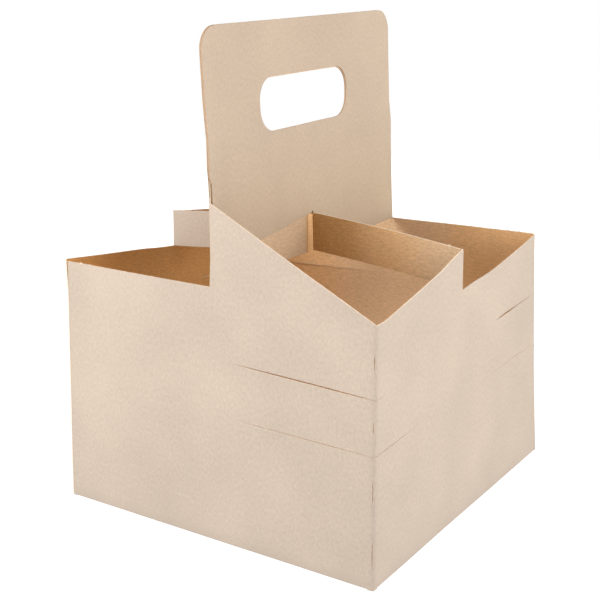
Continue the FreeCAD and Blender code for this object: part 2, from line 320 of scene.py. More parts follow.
class Sheet:
    """The light face of the folded sheet as one mesh, laid panel by panel."""

    def __init__(self):
        self.mesh = bmesh.new()
        self.blank = self.mesh.verts.layers.float_vector.new("blank")
        self.crease = self.mesh.verts.layers.float.new("crease")
        self.handle = self.mesh.verts.layers.float.new("handle")

    def lay(self, outline, holes, columns, rows, fold, flip, guides=(), handle=0.0):
        """Fills a flat outline and folds it. The fold gives a place in space and its crease."""
        places, faces = fill(outline, holes, columns, rows, guides)
        made = {}
        for index in sorted({index for face in faces for index in face}):
            flat = places[index]
            where, crease = fold(flat.x, flat.y)
            made[index] = self.mesh.verts.new(settle(where))
            made[index][self.blank] = (flat.x, flat.y, 0)
            made[index][self.crease] = crease
            made[index][self.handle] = handle
        for face in faces:
            corners = [made[index] for index in face]
            self.mesh.faces.new(corners[::-1] if flip else corners)

    def finish(self, name):
        """Joins the panels along their folds and returns the object."""
        weld = 0.02 * MM
        bmesh.ops.remove_doubles(self.mesh, verts=self.mesh.verts, dist=weld)
        return make_object(name, self.mesh)


def make_object(name, mesh):
    """An object at the origin that holds the bmesh's faces."""
    data = bpy.data.meshes.new(name)
    mesh.to_mesh(data)
    mesh.free()
    made = bpy.data.objects.new(name, data)
    bpy.context.scene.collection.objects.link(made)
    return made


def chosen():
    """The sizes of the sheet and of its settling, as they are set."""
    return bpy.context.scene.carrier_sheet, bpy.context.scene.carrier_settle


def strap_shift(x, y, z):
    """How far the dividers and the folds beside them lie off their drawn places, along Y and Z."""
    sizes, rest = chosen()
    side, side_fade = 38 * MM, 30 * MM
    low, low_fade = 100 * MM, 38 * MM
    high, high_fade = 205 * MM, 28 * MM
    half_depth = 12 * MM
    near = smooth((side - abs(y)) / side_fade)
    near *= smooth((z - low) / low_fade) * smooth((high - z) / high_fade)
    out = abs(x) / HALF
    if x > 0:
        tilt = rest.front_tilt * (z - sizes.wall_height) / half_depth * (1 - out)
        lift = rest.front_lift + (rest.end_lift - rest.front_lift) * out
        lift += rest.front_arch * math.sin(math.pi * min(out, 1.0))
        return near * (rest.front_shift + tilt), near * lift
    return near * (rest.rear_root_shift + (rest.rear_wall_shift - rest.rear_root_shift) * out), 0.0


def splay_walls(moved, x, y, z):
    """Splays the base's corners, leans corner D-A and bulges the walls."""
    sizes, rest = chosen()
    height = z / sizes.wall_height
    below = max(0.0, 1 - height)
    corner_curve, lift_curve, bow_sharpness = 1.35, 2, 6
    to_b, to_c = (1 + x / HALF) / 2, (1 + y / HALF) / 2
    for shift, weight in ((rest.base_da, (1 - to_b) * (1 - to_c) * below),
                          (rest.base_ab, to_b * (1 - to_c) * below),
                          (rest.base_bc, to_b * to_c * below ** corner_curve),
                          (rest.base_cd, (1 - to_b) * to_c * below)):
        moved.x += shift[0] * weight
        moved.y += shift[1] * weight
    moved.z += rest.foot_lift * to_b * to_c * below ** lift_curve
    moved.x += rest.corner_da * (1 - to_b) * (1 - to_c)
    bow = rest.wall_bow * math.sin(math.pi * min(height, 1.0))
    near_x, near_y = (abs(x) / HALF) ** bow_sharpness, (abs(y) / HALF) ** bow_sharpness
    moved.x += math.copysign(near_x * bow * math.cos(math.pi * y / 2 / HALF), x)
    moved.y += math.copysign(near_y * bow * math.cos(math.pi * x / 2 / HALF), y)


def lean_handle(moved, x, y, z):
    """Leans and bows the handle, and lowers it towards wall C."""
    sizes, rest = chosen()
    start_at_a = 55 * MM
    curve_at_a, less_at_c = 1.25, 0.15
    bow_sharpness, turn_pivot = 0.5, 0.65
    to_c = (1 + y / HALF) / 2
    start = sizes.wall_height + start_at_a * (1 - to_c)
    rise = max(0.0, (z - start) / (HIGH.z - start))
    moved.x -= rest.lean * rise ** (curve_at_a - less_at_c * to_c)
    middle = max(0.0, math.cos(math.pi * y / 2 / HALF)) ** bow_sharpness
    moved.x -= rest.handle_bow * math.sin(math.pi * rise) * middle
    moved.z -= rest.handle_sag * to_c * (1 - max(0.0, x) / HALF) * min(z / sizes.wall_height, 1.0)
    peak = sizes.wall_height + sizes.peak_rise
    top = smooth((z - peak) / (HIGH.z - peak))
    moved.z -= rest.handle_turn * top * (y / HALF + turn_pivot)


def shift_peaks(moved, x, y, z):
    """Shifts the peaks of walls A and C, and parts the plies beside their hinges."""
    sizes, rest = chosen()
    foot, reach = 24 * MM, 60 * MM
    end, end_fade = 80 * MM, 25 * MM
    loose_end, loose_fade = 88 * MM, 14 * MM
    peak = sizes.wall_height + sizes.peak_rise
    near = smooth((z - sizes.wall_height + foot) / sizes.peak_rise)
    near *= smooth(1 - abs(x) / reach)
    above = smooth(1 - (z - peak) / reach)
    moved.x += rest.peak_shift * near * above * smooth((-y - end) / end_fade)
    near *= smooth(1 - (z - peak) / sizes.hinge_taper)
    moved.y += rest.hinge_shift * near * smooth((y - end) / end_fade)
    if x * y > 0:
        loose = near * smooth((abs(y) - loose_end) / loose_fade) * min(1.0, abs(x) / sizes.board)
        moved.x += math.copysign(rest.hinge_bulge * loose, x)


def ripple_at(where):
    """The board's slow ripples at a place. Along Z they are slight, and nil near the base."""
    rest = chosen()[1]
    level, level_fade, upright_share = 20 * MM, 80 * MM, 0.3
    spot = Vector(where) / rest.ripple_size
    seeds = [Vector((5 * axis, 11 * rest.ripple_seed, 0)) for axis in range(3)]
    ripple = Vector([noise.noise(spot + seed) for seed in seeds]) * rest.ripple
    ripple.z *= smooth((where[2] - level) / level_fade) * upright_share
    return ripple


def settle(where):
    """Where a place on the neatly folded sheet ends up once the board leans, bows and ripples."""
    x, y, z = where
    shift_y, shift_z = strap_shift(x, y, z)
    moved = Vector((x, y + shift_y, z + shift_z))
    for move in (splay_walls, lean_handle, shift_peaks):
        move(moved, x, y, z)
    return moved + ripple_at(where)


def falloff(distance, fold, reach=0.5 * MM):
    """1 inside a fold's span and down to 0 at the reach beyond it."""
    start, end = fold
    gap = max(start - distance, distance - end, 0.0)
    return 1 - smooth(gap / reach)


def half_turn(where, turned):
    """The place itself, or the place turned half round about the upright axis."""
    return (-where[0], -where[1], where[2]) if turned else where


def rows_of(sizes):
    """Heights of the sheet's level mesh lines."""
    count = round(HIGH.z / sizes.mesh_step)
    return [HIGH.z * step / count for step in range(1, count)]


def sleeve_path(sizes):
    """From the glue tab's end inside wall D, round walls A, B and C, to wall D's raw end."""
    glue, raw_end = 0.1 * MM, 1.1 * MM
    tab_x = -HALF + sizes.board + glue
    points = [(tab_x, -HALF + sizes.tab_width), (tab_x, -HALF), (HALF, -HALF), (HALF, HALF),
              (-HALF, HALF), (-HALF, -HALF + raw_end)]
    sharp, soft = sizes.corner_radius, sizes.soft_radius
    return FoldPath(points, [sharp, sharp, soft, sharp], side=1)


def wall_places(path):
    """Gives a function from a wall and a place on it to a distance along the sleeve's route."""
    walls = [stretch for stretch in path.stretches if not stretch.bend][1:]
    folds = [stretch for stretch in path.stretches if stretch.bend]

    def along(wall, place):
        """The route's distance at a place. Past the wall's end it stays within half the fold."""
        here = walls[wall]
        beyond = place - here.place.dot(here.heading)
        if beyond <= 0:
            fold = folds[wall]
            return here.start + fold.run / 2 * max(-1.0, beyond * fold.bend)
        if beyond > here.run and wall != D:
            fold = folds[wall + 1]
            return here.start + here.run + fold.run / 2 * min(1.0, (beyond - here.run) * fold.bend)
        return here.start + beyond

    return along


def bowed(start, end, bow, count=8):
    """Places from start to end, hollow by the bow in the middle, without the last one."""
    found = []
    for step in range(count):
        part = step / count
        u = start[0] + (end[0] - start[0]) * part
        v = start[1] + (end[1] - start[1]) * part - bow * 4 * part * (1 - part)
        found.append((u, v))
    return found


def sleeve_rim(along, path, sizes):
    """The sleeve's top edge from the glue tab to wall D's end."""
    level = sizes.wall_height
    dip = level - sizes.corner_dip
    notch = level - sizes.notch_drop
    hinge = -sizes.divider_offset - sizes.board
    tab_top = level - 0.6 * MM
    ease, first_rise, last_rise = 4 * MM, 0.25 * MM, 0.8 * MM
    slope_bow = 0.3 * MM
    rim = [(0.0, level - sizes.tab_bevel), (path.folds()[0][0], tab_top), (along(A, -HALF), level)]
    for wall in (A, C):
        rim += [
            (along(wall, 0), level),
            (along(wall, 0), level + sizes.peak_rise),
            (along(wall, HALF), dip),
        ]
        side = wall + 1
        flat = -HALF + sizes.corner_flat
        rim += [(along(side, flat - ease), dip), (along(side, flat), dip + first_rise)]
        strap_top = (along(side, hinge), notch + sizes.divider_depth)
        rim += bowed((along(side, flat + ease), dip + last_rise), strap_top, slope_bow, 6)
        rim.append(strap_top)
        far = (path.length, level + sizes.seam_rise) if side == D else (along(side, HALF), level)
        rim += bowed((along(side, hinge), notch), far, 0.0 if side == D else sizes.rim_bow)
        rim.append(far)
    return rim


class Slit:
    """A cut in the sleeve that gapes, and whose lips spring out of the wall or into it."""

    def __init__(self, stations, above, below, corner, beyond):
        """A station is a distance along the sleeve, a height and a width.

        Above and below say how far each lip springs out, as a share. Past the corner they are
        multiplied by beyond.
        """
        self.stations = stations
        self.above = above
        self.below = below
        self.corner = corner
        self.beyond = beyond
        self.widest = max(width for _, _, width in stations)

    def outline(self):
        """The gaping cut as a closed outline."""
        lower = [(u, v - width / 2) for u, v, width in self.stations]
        upper = [(u, v + width / 2) for u, v, width in self.stations if width > 0]
        return lower + upper[::-1]

    def at(self, u):
        """Height and width of the cut at a distance along the sleeve."""
        for (u0, v0, w0), (u1, v1, w1) in zip(self.stations, self.stations[1:]):
            if u0 <= u <= u1:
                part = (u - u0) / (u1 - u0)
                return v0 + (v1 - v0) * part, w0 + (w1 - w0) * part
        return 0.0, 0.0

    def guides(self, gaps):
        """Mesh lines beside the cut."""
        return [((u0, v0 + gap), (u1, v1 + gap)) for gap in gaps
                for (u0, v0, w0), (u1, v1, w1) in zip(self.stations, self.stations[1:])]

    def lift(self, u, v, reach):
        """How far out of the wall a place beside the cut springs, as a share."""
        fade_sharpness = 1.5
        height, width = self.at(u)
        if width == 0:
            return 0.0
        side = self.above if v > height else self.below
        if u > self.corner:
            side *= self.beyond
        return side * width / self.widest * math.exp(-(abs(v - height) / reach) ** fade_sharpness)


def slits(along, sizes):
    """The slits that run round three corners, each as wide as it gapes."""
    upper = sizes.wall_height - sizes.slit_drop
    lower = upper - sizes.slit_spacing
    start = sizes.slit_start
    parts_before, parts_after = (0, 0.12, 0.3, 0.5, 0.75, 0.92, 1.0), (0.3, 0.6, 0.85, 1.0)

    def run(wall, first, first_height, corner_height, second, second_height, widths, above, below,
            beyond=1.0):
        """A slit from a place on one wall, round its corner, to a place on the next wall.

        The widths are in millimetres, the first seven up to the corner and the others past it.
        """
        before, corner, after = along(wall, first), along(wall, HALF), along((wall + 1) % 4, second)
        stations = []
        for part, width in zip(parts_before, widths):
            stations.append((before + (corner - before) * part,
                             first_height + (corner_height - first_height) * part, width * MM))
        for part, width in zip(parts_after, widths[len(parts_before):]):
            stations.append((corner + (after - corner) * part,
                             corner_height + (second_height - corner_height) * part, width * MM))
        return Slit(stations, above, below, corner, beyond)

    dipped = upper - sizes.upper_fall
    low_dipped = lower - sizes.lower_fall
    return [
        run(A, start, upper, dipped, -68 * MM, dipped - 0.5 * MM,
            (0, 0.4, 0.55, 0.62, 0.6, 0.42, 0.12, 0.015, 0.015, 0.015, 0), -0.3, 0.8),
        run(A, start, lower, low_dipped, -58 * MM, lower,
            (0, 0.16, 0.24, 0.32, 0.35, 0.25, 0.12, 0.2, 0.2, 0.12, 0), -0.2, 0.4),
        run(B, 43 * MM, upper, upper + sizes.upper_lift, -50 * MM, upper,
            (0, 0.6, 0.8, 0.45, 0.15, 0.07, 0.05, 0.05, 0.05, 0.05, 0), -0.4, 0.8),
        run(B, 23 * MM, lower, lower, -50 * MM, lower,
            (0, 0.015, 0.02, 0.03, 0.03, 0.02, 0.02, 0.02, 0.02, 0.02, 0), 0.0, 0.3),
        run(C, start, upper, dipped, -20 * MM, upper,
            (0, 0.25, 0.4, 0.4, 0.35, 0.25, 0.15, 0.18, 0.2, 0.2, 0), -1.7, 0.2, beyond=-1.0),
        run(C, start, lower, low_dipped, -58 * MM, lower,
            (0, 0.1, 0.16, 0.2, 0.2, 0.16, 0.1, 0.05, 0.05, 0.05, 0), -0.3, 0.3),
    ]


def crease_cuts(along, sizes):
    """Cuts along three corners that help the sheet fold, as closed outlines."""
    lengths = (17 * MM, 12.7 * MM, 6.5 * MM, 8.5 * MM)
    half = sizes.crease_gap / 2
    outlines = []
    for wall in (A, B, C):
        u = along(wall, HALF - sizes.corner_radius)
        for step, run in enumerate(lengths):
            middle = sizes.crease_first + step * sizes.crease_pitch
            low, high = middle - run / 4, middle + run / 4
            outlines.append([(u, middle - run / 2), (u + half, low), (u + half, high),
                             (u, middle + run / 2), (u - half, high), (u - half, low)])
    return outlines


def lay_sleeve(sheet):
    """The four walls and the glue tab, with their rims, slits and fold cuts. Gives its places."""
    sizes, rest = chosen()
    path = sleeve_path(sizes)
    along = wall_places(path)
    base = sizes.base_radius
    tab_foot = 0.2 * MM
    outline = [(0.0, sizes.tab_bevel), (path.folds()[0][0], tab_foot)]
    for wall in (A, B, C, D):
        side = HALF - (sizes.flap_inset if wall in (A, C) else sizes.side_flap_inset)
        first, last = along(wall, -side), along(wall, side)
        outline += [(first, 0.0), (first, base), (last, base), (last, 0.0)]
    outline.append((path.length, 0.0))
    outline += sleeve_rim(along, path, sizes)[::-1]
    columns = path.columns(sizes.mesh_step)
    for wall in (A, C):
        columns += [along(wall, side * (HALF - sizes.flap_inset)) for side in (-1, 1)]
        columns += [along(wall, 0)]
    for wall in (B, D):
        columns += [along(wall, side * (HALF - sizes.side_flap_inset)) for side in (-1, 1)]
    cuts = slits(along, sizes)
    holes = [cut.outline() for cut in cuts] + crease_cuts(along, sizes)
    beside = (-6 * MM, -2.5 * MM, 2.5 * MM, 6 * MM)
    guides = [guide for cut in cuts for guide in cut.guides(beside)]
    folds = path.folds()
    gape_run = 35 * MM

    def fold(u, v):
        place, outward = path.at(u)
        gape = smooth((v - sizes.wall_height + rest.seam_gape_depth) / rest.seam_gape_depth)
        gape *= smooth((u - path.length + gape_run) / gape_run) * rest.seam_gape
        lift = sum(cut.lift(u, v, rest.lip_reach) for cut in cuts) * rest.lip_spring
        place = place + outward * (gape + lift)
        crease = max(falloff(u, span) for span in folds)
        crease = max(crease, falloff(v, (0, base)))
        return (place.x, place.y, v), crease

    sheet.lay(outline, holes, columns, rows_of(sizes), fold, flip=False, guides=guides)
    return along


def quarter(centre, radius, first, count=8):
    """Places round a quarter circle, anticlockwise from the first angle in degrees."""
    angles = [math.radians(first + 90 * step / count) for step in range(count + 1)]
    return [(centre[0] + radius * math.cos(a), centre[1] + radius * math.sin(a)) for a in angles]


def rounded_slot(sizes, middle_u, slip):
    """Outline of the hand slot, lowered by a slip."""
    half = sizes.slot_length / 2 - sizes.slot_corner
    rise = sizes.slot_depth / 2 - sizes.slot_corner
    middle = HIGH.z - sizes.slot_drop - sizes.slot_depth / 2 - slip
    outline = []
    for across, up, first in ((1, -1, -90), (1, 1, 0), (-1, 1, 90), (-1, -1, 180)):
        outline += quarter((middle_u + across * half, middle + up * rise), sizes.slot_corner, first)
    return outline


def lay_ply(sheet, sizes, turned):
    """One ply of the handle, hinged to its wall's peak: the front ply, or the rear one if turned."""
    board = sizes.board
    free = -HALF + sizes.free_edge_inset
    path = FoldPath([(0, HALF), (board, HALF), (board, free)], [board], side=-1)
    level, root = sizes.wall_height, sizes.wall_height - sizes.divider_sag
    peak = level + sizes.peak_rise
    divider_top = level - sizes.notch_drop + sizes.divider_depth
    hinge = sizes.divider_offset + board + sizes.divider_radius
    bend = path.folds()[0][1]

    def u_of(y):
        """The distance along the ply's route at a place on the front ply."""
        return bend + HALF - board - y

    side = sizes.handle_width / 2
    corner = sizes.handle_corner
    free_top = level + sizes.free_edge_rise
    top = root + sizes.divider_depth
    outline = [(0.0, level), (bend, level), (u_of(hinge), root), (u_of(hinge), top)]
    tear = ((0.8 * MM, 1.3 * MM), (4.5 * MM, -0.4 * MM))
    outline += [(u_of(hinge) + across, top + up) for across, up in tear]
    outline += [(u_of(free), divider_top), (u_of(free), free_top - sizes.shoulder), (u_of(-HALF), free_top),
                (u_of(-side), peak + sizes.hinge_taper)]
    outline += quarter((u_of(-side + corner), HIGH.z - corner), corner, 0)
    outline += quarter((u_of(side - corner), HIGH.z - corner), corner, 90)
    outline += [(u_of(side), peak + sizes.hinge_taper), (bend / 2, peak + sizes.hinge_taper / 2),
                (0.0, peak)]
    columns = path.columns(sizes.mesh_step) + [u_of(hinge)]
    crease_fade, root_fade = 3 * MM, MM

    def fold(u, v):
        """The crease runs up the hinge to the peak, and up the divider's root to its top."""
        place, _ = path.at(max(0.0, min(u, path.length)))
        beyond = max(0.0, u - path.length)
        crease = max(falloff(u, path.folds()[0]) * smooth((peak + crease_fade - v) / crease_fade),
                     falloff(u, (u_of(hinge), u_of(hinge))) * smooth((top - v) / root_fade))
        return half_turn((place.x, place.y - beyond, v), turned), crease

    slot = rounded_slot(sizes, u_of(0), sizes.slot_slip if turned else 0.0)
    sheet.lay(outline, [slot], columns, rows_of(sizes), fold, flip=True, handle=1.0)


def lay_divider(sheet, sizes, turned):
    """The strap folded out of a handle ply to the wall's notch."""
    board, inner = sizes.board, sizes.divider_radius
    root_y = sizes.divider_offset + board
    wall_y = -sizes.divider_offset
    outer = board * 0.96
    path = FoldPath([(board, root_y + inner), (board, root_y), (HALF, wall_y), (HALF, wall_y - board)],
                    [inner, outer], side=-1)
    root, notch = sizes.wall_height - sizes.divider_sag, sizes.wall_height - sizes.notch_drop
    outline = [(0.0, root), (path.length, notch), (path.length, notch + sizes.divider_depth),
               (0.0, root + sizes.divider_depth)]

    def fold(u, v):
        place, _ = path.at(min(u, path.length))
        crease = max(falloff(u, span) for span in path.folds())
        return half_turn((place.x, place.y, v), turned), crease

    sheet.lay(outline, [], path.columns(sizes.mesh_step), rows_of(sizes), fold, flip=True)


def flap_rows(sizes, first=0, first_step=0.0):
    """Level mesh lines of a flap: across its fold, then close ones if any, then evenly spaced."""
    bend = sizes.base_radius * math.pi / 2
    rows = [bend * step / 4 for step in range(1, 5)]
    rows += [bend + first_step * step for step in range(1, first + 1)]
    return rows + [bend + sizes.mesh_step * step for step in range(1, 20)]


def fold_at_base(sizes, v):
    """How far in from its wall's face and how high a flap's place lies, and how far past the fold."""
    base = sizes.base_radius
    bend = base * math.pi / 2
    angle = min(v / bend, 1.0) * math.pi / 2
    beyond = max(0.0, v - bend)
    return base * (1 - math.cos(angle)) + beyond, base * (1 - math.sin(angle)), beyond


def lay_flap(sheet, sizes, columns, rows, outline, fold):
    """One flap, with its crease along the base."""
    bend = sizes.base_radius * math.pi / 2
    sheet.lay(outline, [], columns, rows, lambda u, v: (fold(u, v), falloff(v, (0, bend))), flip=True)


def lay_bottom_flap(sheet, sizes, along, sleeve, turned):
    """The bottom flap of wall A, or of wall C if turned. The two lock along a slanting line."""
    side = HALF - sizes.flap_inset
    middle = HALF + sizes.base_radius * (math.pi / 2 - 1) - sizes.lock_gap / 2
    near, far = middle - sizes.lock_depth, middle + sizes.lock_depth
    outline = [(-side, 0.0), (side, 0.0), (side, near), (sizes.lock_run, near), (-sizes.lock_run, far),
               (-side, far)]
    wall = C if turned else A
    columns = [u - along(wall, 0) for u in sleeve.columns(sizes.mesh_step)] + [0.0]

    def fold(u, v):
        run, height, _ = fold_at_base(sizes, v)
        return half_turn((u, -HALF + run, height), turned)

    lay_flap(sheet, sizes, columns, flap_rows(sizes), outline, fold)


def lay_side_flap(sheet, sizes, along, sleeve, turned):
    """The flap of wall B, or of wall D if turned, glued on top of the bottom flaps."""
    side = HALF - sizes.side_flap_inset
    depth = sizes.side_flap
    outline = [(-side, 0.0), (side, 0.0), (side - depth, depth), (-side + depth, depth)]
    wall = D if turned else B
    columns = [u - along(wall, 0) for u in sleeve.columns(sizes.mesh_step)]
    glue, clear = 0.1 * MM, 0.5 * MM
    ramp = sizes.flap_inset - sizes.base_radius - clear

    def fold(u, v):
        run, height, beyond = fold_at_base(sizes, v)
        lift = (sizes.board + glue) * smooth(beyond / ramp)
        return half_turn((HALF - run, u, height + lift), turned)

    lay_flap(sheet, sizes, columns, flap_rows(sizes, 5, 1.2 * MM), outline, fold)


def keep_result(made, modifier):
    """Leaves a modifier's result as the object's plain mesh."""
    graph = bpy.context.evaluated_depsgraph_get()
    data = bpy.data.meshes.new_from_object(made.evaluated_get(graph), depsgraph=graph)
    made.modifiers.remove(modifier)
    made.data = data
    data.name = made.name


def thicken(made, sizes):
    """Gives the sheet its board inwards, with the brown face and the cut edges.

    It is a little thinner than the board, so that glued faces don't run into each other.
    """
    thinner, sharp_degrees = 0.94, 38
    board = made.modifiers.new("Board", "SOLIDIFY")
    board.thickness = sizes.board * thinner
    board.offset = -1
    board.use_even_offset = True
    board.use_quality_normals = True
    board.material_offset = 1
    board.material_offset_rim = 2
    keep_result(made, board)
    made.data.shade_smooth()
    made.data.set_sharp_from_angle(angle=math.radians(sharp_degrees))


class Value:
    """A socket in an expression. Each operation on it adds a Math node."""

    def __init__(self, maker, socket):
        self.maker = maker
        self.socket = socket

    def math(self, operation, *values):
        """A Math node on values, sockets or numbers."""
        node = self.maker.node("ShaderNodeMath", {"operation": operation}, dict(enumerate(values)))
        return Value(self.maker, node.outputs[0])

    def __add__(self, other):
        return self.math("ADD", self, other)

    def __radd__(self, other):
        return self.math("ADD", other, self)

    def __sub__(self, other):
        return self.math("SUBTRACT", self, other)

    def __rsub__(self, other):
        return self.math("SUBTRACT", other, self)

    def __mul__(self, other):
        return self.math("MULTIPLY", self, other)

    def __rmul__(self, other):
        return self.math("MULTIPLY", other, self)


class NodeMaker:
    """Adds nodes to a tree."""

    def __init__(self, tree):
        self.tree = tree

    def node(self, kind, settings=None, values=None):
        """A node with its settings, and its sockets' values or links."""
        node = self.tree.nodes.new(kind)
        for name, value in (settings or {}).items():
            setattr(node, name, value)
        for key, value in (values or {}).items():
            self.feed(node.inputs[key], value)
        return node

    def feed(self, socket, value):
        """Gives a socket a link or a fixed value."""
        source = value.socket if isinstance(value, Value) else value
        if isinstance(source, bpy.types.NodeSocket):
            self.tree.links.new(source, socket)
        else:
            socket.default_value = source

    def vector_math(self, operation, values):
        """The result of a Vector Math node."""
        return self.node("ShaderNodeVectorMath", {"operation": operation}, values).outputs[0]


class Shader(NodeMaker):
    """Makes one material's nodes."""

    def __init__(self, name):
        self.material = bpy.data.materials.new(name)
        self.material.use_nodes = True
        super().__init__(self.material.node_tree)
        self.surface = self.tree.nodes["Principled BSDF"]

    def paint(self, **values):
        """Gives the surface's sockets their values. An underscore stands for a space."""
        for name, value in values.items():
            self.feed(self.surface.inputs[name.replace("_", " ")], value)

    def blank(self, scale):
        """Places on the flat sheet, times a scale: 1000 gives noise cells of 1 mm."""
        place = self.node("ShaderNodeAttribute", {"attribute_name": "blank"}).outputs["Vector"]
        return self.vector_math("MULTIPLY", {0: place, 1: scale})

    def attribute(self, name):
        """One of the sheet's attributes."""
        return Value(self, self.node("ShaderNodeAttribute", {"attribute_name": name}).outputs["Fac"])

    def axis(self, name):
        """A place's distance along one axis of the object."""
        place = self.node("ShaderNodeTexCoord").outputs["Object"]
        return Value(self, self.node("ShaderNodeSeparateXYZ", {}, {0: place}).outputs[name])

    def space(self, scale):
        """Places in the object, times a scale: 1000 gives noise cells of 1 mm."""
        place = self.node("ShaderNodeTexCoord").outputs["Object"]
        return self.vector_math("MULTIPLY", {0: place, 1: scale})

    def noise(self, vector, detail=3.0, roughness=0.6, distortion=0.0):
        """Noise about 0, from about -0.5 to 0.5, at a size of one unit of the vector."""
        node = self.node("ShaderNodeTexNoise", {}, {"Vector": vector, "Scale": 1.0, "Detail": detail,
                                                     "Roughness": roughness, "Distortion": distortion})
        return Value(self, node.outputs["Fac"]) - 0.5

    def step(self, value, low, high):
        """0 where the value is below low, 1 above high, smooth between."""
        node = self.node("ShaderNodeMapRange", {"interpolation_type": "SMOOTHSTEP", "clamp": True},
                         {"Value": value, "From Min": low, "From Max": high})
        return Value(self, node.outputs["Result"])

    def band(self, value, zero, one):
        """0 at one distance in metres from the middle plane, on both its sides, and 1 at another."""
        return self.step(value * value, zero ** 2, one ** 2)

    def tint(self, base, factor):
        """A colour times a factor about 1."""
        return self.vector_math("SCALE", {0: base, "Scale": factor})

    def mix(self, factor, first, second):
        """One colour over another by a factor."""
        first_socket, second_socket, result = 6, 7, 2
        node = self.node("ShaderNodeMix", {"data_type": "RGBA"}, {"Factor": factor})
        for socket, value in ((first_socket, first), (second_socket, second)):
            fixed = not isinstance(value, bpy.types.NodeSocket)
            self.feed(node.inputs[socket], (*value, 1) if fixed else value)
        return node.outputs[result]

    def finish(self, base, roughness, height, depth, specular=0.25):
        """Links the colour, roughness and bump to the surface."""
        bump = self.node("ShaderNodeBump", {}, {"Height": height, "Strength": 1.0, "Distance": depth})
        self.paint(Base_Color=base, Roughness=roughness, Normal=bump.outputs["Normal"],
                   Specular_IOR_Level=specular)


def outside_board(colours):
    """The light face: smooth bleached kraft with a faint mottle, upright grain and a few flecks."""
    make = Shader("kraft_outside")
    cloud = make.noise(make.space((18, 18, 18)), detail=2)
    mottle = make.noise(make.blank((560, 430, 1)), detail=4, roughness=0.7)
    grain = make.noise(make.blank((1300, 520, 1)), detail=3)
    speck = make.noise(make.blank((900, 520, 1)), detail=2)
    fleck = make.step(speck, 0.235, 0.265)
    crease = make.attribute("crease")
    # Painted shade: below about 0.2 m the handle's face fades to the darker, warmer low colour.
    low = make.step(make.axis("Z"), 0.235, 0.165)
    handle = make.attribute("handle")
    # The handle's plies take the handle colours, which carry painted warm reflection from the wells.
    plain = make.mix(handle, colours.outside, make.mix(low, colours.handle, colours.handle_low_painted_shade))
    strength = colours.mottle
    shade = 1 + cloud * (strength * 0.7) + mottle * (strength * 1.1) + grain * (strength * 0.9)
    shade = shade - crease * 0.05
    base = make.mix(fleck * 0.5, make.tint(plain, shade), colours.fibre_dark)
    roughness = 0.74 + mottle * 0.16 - crease * 0.05
    height = mottle * 0.5 + grain * 0.8
    make.finish(base, roughness, height, depth=0.03 * MM)


def inside_board(colours):
    """The brown face: unbleached kraft with level fibres, blotches and specks.

    Painted shade makes it darker and more orange near the handle and on wall D, where painted light
    lightens it towards wall A. Wall C's face has painted light, paler by its hinge, and the strap's end is
    paler with painted shade.
    """
    make = Shader("kraft_inside")
    cloud = make.noise(make.space((30, 30, 45)), detail=3)
    streak = make.noise(make.blank((190, 1000, 1)), detail=5, roughness=0.75)
    fibre = make.noise(make.blank((480, 2400, 1)), detail=3, distortion=0.4)
    mottle = make.noise(make.blank((560, 760, 1)), detail=4, roughness=0.7)
    along, across, handle = make.axis("X"), make.axis("Y"), make.attribute("handle")
    # Painted shade near the handle's plane, across the middle of the wells.
    handle_shade_mask = make.band(along, 0.045, 0.005) * make.band(across, 0.07, 0.03)
    plain = make.mix(handle_shade_mask * 0.8, colours.inside, colours.inside_painted_shade)
    # Wall C's inside gets painted light, and paler painted light beside its hinge.
    rear = make.step(across, 0.07, 0.1)
    # Painted shade on wall D's inside.
    left = make.step(along, -0.07, -0.1)
    plain = make.mix(left, plain, colours.wall_d_painted_shade)
    hinge = rear * make.band(along, 0.06, 0.015)
    # Painted shade: the strap's end is paler and darker.
    end = make.step(along, 0.05, 0.1) * make.band(across, 0.03, 0.02)
    plain = make.mix(hinge * 0.8 + end, plain, colours.inside_pale)
    plain = make.mix(handle * 0.9, plain, colours.handle_inside)
    # By their hinges the plies take the pale cut colour: partly the fold's light face, partly painted light
    # against the shade between the plies.
    plain = make.mix(handle * make.band(across, 0.099, 0.102), plain, colours.cut)
    pale = make.step(fibre, 0.12, 0.3)
    dark = make.step(mottle, -0.18, -0.3)
    strength = colours.streak
    # Painted light on wall C's face (rear) and painted shade at the strap's end (end).
    shade = 1 + cloud * 0.2 + streak * strength + mottle * (strength * 0.7) + rear * 0.13 - end * 0.17
    # Painted light: wall D's inside is lighter towards wall A.
    shade = shade + left * make.step(across, -0.01, -0.1) * 0.45
    base = make.mix(dark * 0.5, make.tint(plain, shade), colours.fibre_dark)
    base = make.mix(pale * 0.16, base, colours.cut)
    roughness = 0.84 + streak * 0.12
    height = streak * 0.5 + fibre * 0.4 + mottle * 0.5
    make.finish(base, roughness, height, depth=0.05 * MM, specular=0.2)


def cut_board(colours):
    """The raw cut edge: pale, layered and a little fuzzy. Part of the paleness is painted highlight."""
    make = Shader("kraft_cut")
    layer = make.noise(make.space((900, 900, 900)), detail=3)
    clump = make.noise(make.space((260, 260, 260)), detail=2)
    shade = 1 + layer * 0.24 + clump * 0.2
    # The handle's raw edges take the darker colour, painted shade.
    plain = make.mix(make.attribute("handle"), colours.cut, colours.handle_cut_painted_shade)
    base = make.mix(make.step(layer, -0.1, -0.25) * 0.35, make.tint(plain, shade), colours.fibre_dark)
    roughness = 0.9 + layer * 0.1
    make.finish(base, roughness, layer + clump, depth=0.08 * MM, specular=0.15)


def board_materials():
    """The sheet's three finishes, made once."""
    names = ("kraft_outside", "kraft_inside", "kraft_cut")
    if names[0] not in bpy.data.materials:
        colours = bpy.context.scene.carrier_colours
        outside_board(colours)
        inside_board(colours)
        cut_board(colours)
    return [bpy.data.materials[name] for name in names]


